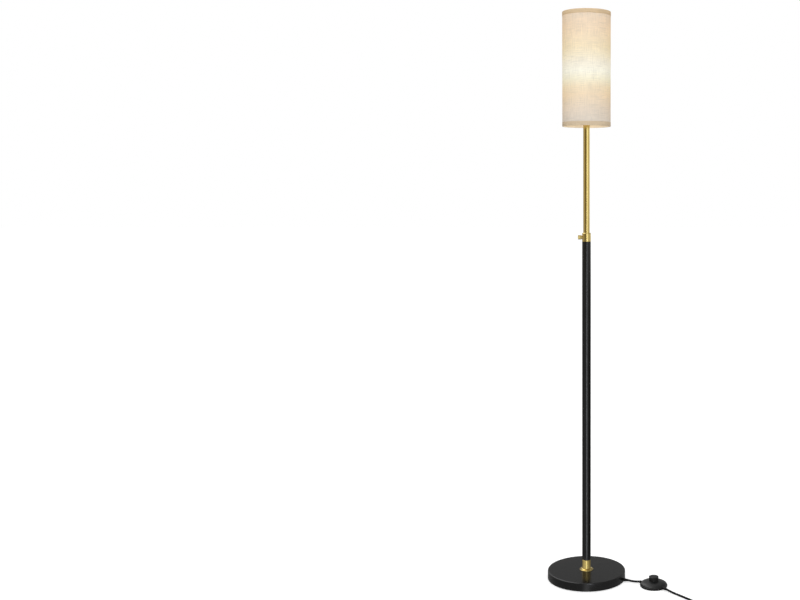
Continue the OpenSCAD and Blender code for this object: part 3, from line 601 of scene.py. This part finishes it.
# Above that
UPPER = [
    (-180, 0.21), (-166, 0.23), (-156, 1.20), (-140, 1.20), (-128, 0.35), (-50, 0.30),
    (-14, 0.40), (0, 1.50), (10, 0.80), (30, 0.35), (60, 0.26), (150, 0.18), (180, 0.21)]
# On the floor
GROUND = [
    (-180, 0.10), (-126, 0.11), (-83, 0.25), (-52, 0.34), (-24, 0.38), (1, 0.38),
    (4, (2.20, 2.30, 2.48)), (7, (5.80, 6.03, 6.50)), (11, (4.20, 4.37, 4.70)),
    (16, (0.80, 0.80, 0.82)), (34, (0.45, 0.44, 0.42)), (57, (0.20, 0.19, 0.17)), (90, 0.03),
    (139, 0.05), (180, 0.10)]
# On the floor close to the base and the switch: painted shade of the base and the switch, which only
# reflections show
CONTACT_SHADE = [
    (-180, 0.10), (-60, 0.24), (-8, 0.30), (0, 1.00), (8, 0.34), (60, 0.24), (180, 0.10)]
# On the ring over the base
RING = [
    (-180, 0.10), (-126, (0.16, 0.15, 0.13)), (-83, (0.46, 0.45, 0.42)),
    (-52, (0.64, 0.63, 0.60)), (-24, (0.68, 0.68, 0.66)), (-8, (0.80, 0.82, 0.80)),
    (-1, (2.50, 2.60, 2.60)), (6, (0.80, 0.83, 0.85)), (29, (0.54, 0.53, 0.50)),
    (57, (0.40, 0.39, 0.36)), (90, (0.22, 0.21, 0.19)), (139, (0.13, 0.13, 0.12)), (180, 0.10)]
# Overhead, as (share of the way from -X to +X, light)
OVERHEAD = [
    (0.0, 1.0), (0.15, 2.2), (0.31, 2.8), (0.39, 0.60), (0.5, 0.80), (0.55, 0.55), (0.65, 0.34),
    (1.0, 0.28)]
# Rise of a direction over which one gives way to the next
TO_UPPER = (0.18, 0.28)
TO_OVERHEAD = (0.48, 0.62)
# Distances over which the floor's lights give way to the next
TO_GROUND = (0.06, 0.1)
TO_HORIZON = (12, 18)
EVEN_LIGHT = 0.43
FLOOR_HALF = 30
FLOOR_Z = -0.0003
# Light that makes the floor white to the camera, as (distance, light) close by and far off
FLOOR_NEAR = (0.2, 0.5)
FLOOR_FAR = (4, 0.69)
RING_Z = 0.0262
RING_R = (0.0206, 0.112)
RING_COLUMNS = 96
BULB_Z = 1.52
BULB_R = 0.031
BULB_POWER = 0.07
BULB_COLOUR = (1, 0.86, 0.7)
# Soft lamps, as (name, place, aim, width, height, power)
SOFTBOXES = [
    ("key", (0.35, -3.2, 1.9), (0, 0, 0.9), 1.0, 2.4, 52),
    ("fill", (-2.2, -2.2, 1.6), (0, 0, 0.8), 1.4, 2.2, 12),
    ("top", (0.2, 0.6, 3.2), (0, 0, 0), 2.4, 2.4, 30)]


def make_world():
    """White surroundings for the camera, even light on the lamp, and panels for metal to show."""
    world = bpy.data.worlds.new("studio")
    bpy.context.scene.world = world
    world.use_nodes = True
    g = Graph(world.node_tree)
    path = g.nodes.new("ShaderNodeLightPath").outputs
    x, y, z = g.split(g.coordinates("Generated"))
    turned = g.turned(x, y)
    overhead = g.ramp(g.between(x, -1, 1, 0, 1), OVERHEAD)
    shown = g.mix(g.between(z, *TO_UPPER, 0, 1), g.panels(turned, HORIZON), g.panels(turned, UPPER))
    shown = g.mix(g.between(z, *TO_OVERHEAD, 0, 1), shown, overhead)
    light = g.mix(path["Is Glossy Ray"], rgba(EVEN_LIGHT), shown)
    clear = g.math("MAXIMUM", path["Is Camera Ray"], path["Is Transmission Ray"])
    g.link(g.mix(clear, light, rgba(1)), g.nodes["Background"].inputs["Color"])


def make_floor():
    """Pale floor that shows white to the camera and keeps the soft shadows."""
    f = Finish("pale_floor", 1, specular=0)
    path = f.nodes.new("ShaderNodeLightPath").outputs
    x, y, _ = f.split(f.place)
    turned = f.turned(x, y)
    away = f.away(x, y)
    off_switch = f.away(x, y, [value * MM for value in SWITCH_AT])
    # Painted shade: the floor's reflections close to the base and the switch are darker
    clear_of = f.math("MINIMUM", f.math("SUBTRACT", away, BASE_R * MM),
                      f.math("SUBTRACT", off_switch, SWITCH_R * MM))
    shown = f.mix(f.between(clear_of, *TO_GROUND, 0, 1),
                  f.panels(turned, CONTACT_SHADE), f.panels(turned, GROUND))
    shown = f.mix(f.between(away, *TO_HORIZON, 0, 1), shown, f.panels(turned, HORIZON))
    clear = f.math("MAXIMUM", path["Is Camera Ray"], path["Is Transmission Ray"])
    (near, near_light), (far, far_light) = FLOOR_NEAR, FLOOR_FAR
    lift = f.math("MULTIPLY", clear, f.between(away, near, far, near_light, far_light))
    f.to_surface("Base Color", f.mix(path["Is Glossy Ray"], rgba(0.82), rgba(0)))
    f.to_surface("Emission Color", f.mix(path["Is Glossy Ray"], lift, shown))
    f.surface.inputs["Emission Strength"].default_value = 1
    corners = [(FLOOR_HALF * right, FLOOR_HALF * back, FLOOR_Z)
               for right, back in ((-1, -1), (1, -1), (1, 1), (-1, 1))]
    mesh_object("floor", corners, [(0, 1, 2, 3)], f.material)


def make_ring():
    """A lit ring just over the base that only reflections show: the camera looks through it."""
    material = bpy.data.materials.new("foot_board")
    material.use_nodes = True
    g = Graph(material.node_tree)
    g.nodes.remove(g.nodes["Principled BSDF"])
    x, y, _ = g.split(g.coordinates("Object"))
    lit = g.nodes.new("ShaderNodeEmission")
    g.link(g.panels(g.turned(x, y), RING), lit.inputs["Color"])
    clear = g.nodes.new("ShaderNodeBsdfTransparent")
    sides = g.nodes.new("ShaderNodeMixShader")
    g.link(g.nodes.new("ShaderNodeNewGeometry").outputs["Backfacing"], sides.inputs[0])
    g.link(lit.outputs[0], sides.inputs[1])
    g.link(clear.outputs[0], sides.inputs[2])
    g.link(sides.outputs[0], g.nodes["Material Output"].inputs["Surface"])
    angles = [2 * math.pi * i / RING_COLUMNS for i in range(RING_COLUMNS)]
    vertices = [(r * math.cos(angle), r * math.sin(angle), RING_Z) for r in RING_R for angle in angles]
    faces = [face[::-1] for face in ring_faces(2, RING_COLUMNS, False)]
    ring = mesh_object("foot_board", vertices, faces, material)
    for seen_by in ("camera", "diffuse", "transmission", "volume_scatter", "shadow"):
        setattr(ring, f"visible_{seen_by}", False)


def softbox(name, place, aim, width, height, power):
    """A soft rectangular lamp that neither the camera nor metal sees."""
    data = bpy.data.lights.new(name, "AREA")
    data.shape = "RECTANGLE"
    data.size, data.size_y = width, height
    data.energy = power
    light = bpy.data.objects.new(name, data)
    light.location = place
    light.rotation_euler = (Vector(aim) - Vector(place)).to_track_quat("-Z", "Y").to_euler()
    light.visible_camera = False
    light.visible_glossy = False
    bpy.context.scene.collection.objects.link(light)


def bulb_light():
    """The lit bulb's light inside the shade."""
    data = bpy.data.lights.new("bulb_light", "POINT")
    data.energy = BULB_POWER
    data.color = BULB_COLOUR
    data.shadow_soft_size = BULB_R
    light = bpy.data.objects.new("bulb_light", data)
    light.location = (0, 0, BULB_Z)
    bpy.context.scene.collection.objects.link(light)
    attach(light, "stem")


make_world()
make_floor()
make_ring()
for box in SOFTBOXES:
    softbox(*box)
bulb_light()
bpy.context.scene.view_settings.view_transform = "Standard"
